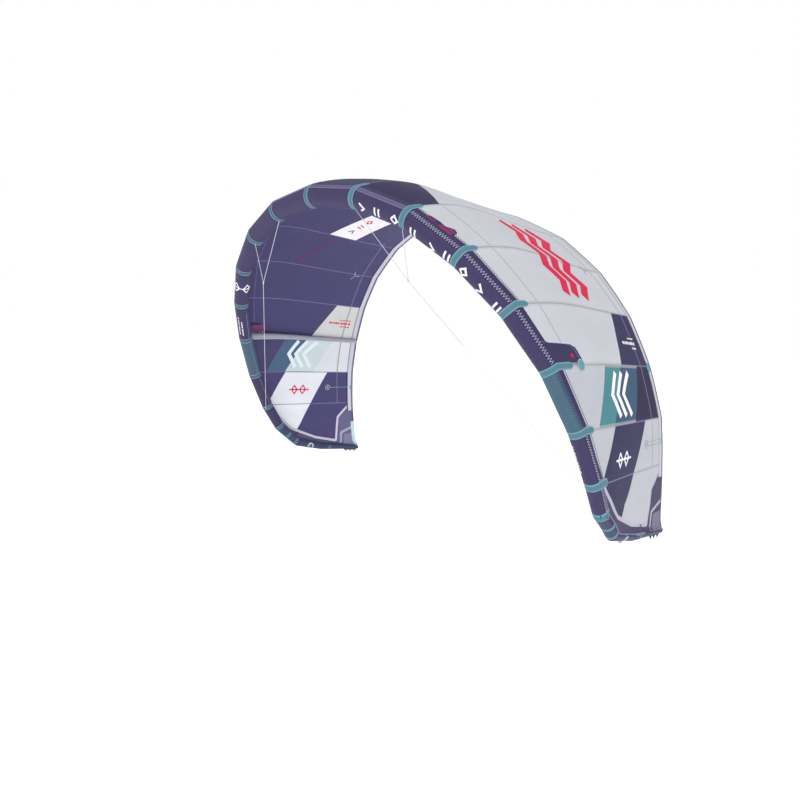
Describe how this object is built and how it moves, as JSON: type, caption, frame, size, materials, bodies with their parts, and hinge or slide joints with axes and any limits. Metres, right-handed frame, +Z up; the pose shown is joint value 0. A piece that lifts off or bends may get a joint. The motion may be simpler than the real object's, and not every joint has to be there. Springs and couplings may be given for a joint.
{
  "type": "kitesurfing kite",
  "caption": "Arched kitesurfing kite with an inflated leading edge tube, inflated struts, a sewn panel canopy, seam bands, a bridle on each wing and line tabs at the tips.",
  "frame": {"origin": "midway between the front ends of the two side struts, where the flying lines' pull acts on the whole kite", "axes": "+X across the span towards the light wing, +Y from the leading edge to the trailing edge, +Z up over the arch"},
  "size_m": [3.7544, 2.0386, 2.4579],
  "materials": {
    "tube_dark": "matt dark indigo polyester cloth of the leading edge tube",
    "tube_teal": "matt teal polyester cloth of the tube's coloured stretch",
    "canopy_light": "light grey ripstop cloth with a soft sheen",
    "canopy_dark": "dark indigo ripstop cloth with a soft sheen",
    "band": "teal reinforcing cloth with light edges",
    "strut": "light grey polyester cloth of the struts",
    "cord": "white braided cord",
    "tab_white": "white webbing",
    "tab_black": "black webbing"
  },
  "bodies": {
    "root": {"leading_edge_1_right": "tube_dark", "leading_edge_1_left": "tube_dark", "leading_edge_2_right": "tube_dark", "leading_edge_2_left": "tube_dark", "leading_edge_3_right": "tube_dark", "leading_edge_3_left": "tube_dark", "leading_edge_4_right": "tube_dark", "leading_edge_4_left": "tube_dark", "leading_edge_5_right": "tube_dark", "leading_edge_5_left": "tube_dark", "leading_edge_6_right": "tube_teal", "leading_edge_6_left": "tube_teal", "leading_edge_7_right": "tube_dark", "leading_edge_7_left": "tube_dark", "leading_edge_8_right": "tube_dark", "leading_edge_8_left": "tube_dark", "leading_edge_tip_right": "tube_dark", "leading_edge_tip_left": "tube_dark", "canopy_1_right": "canopy_light", "canopy_1_left": "canopy_dark", "canopy_2_right": "canopy_light", "canopy_2_left": "canopy_dark", "canopy_3_right": "canopy_light", "canopy_3_left": "canopy_dark", "canopy_4_right": "canopy_light", "canopy_4_left": "canopy_dark", "canopy_5_right": "canopy_light", "canopy_5_left": "canopy_dark", "canopy_6_right": "canopy_light", "canopy_6_left": "canopy_dark", "canopy_7_right": "canopy_light", "canopy_7_left": "canopy_dark", "canopy_tip_right": "canopy_light", "canopy_tip_left": "canopy_dark", "band_center": "band", "band_1_right": "band", "band_1_left": "band", "band_2_right": "band", "band_2_left": "band", "band_3_right": "band", "band_3_left": "band", "band_4_right": "band", "band_4_left": "band", "band_5_right": "band", "band_5_left": "band", "band_6_right": "band", "band_6_left": "band", "band_7_right": "band", "band_7_left": "band", "band_8_right": "band", "band_8_left": "band", "strut_center": "strut", "strut_right": "strut", "strut_left": "strut", "bridle_right": "cord", "bridle_left": "cord", "front_line_tab_right": "tab_white", "front_line_tab_left": "tab_white", "rear_line_tab_right": "tab_black", "rear_line_tab_left": "tab_black"}
  },
  "joints": []
}
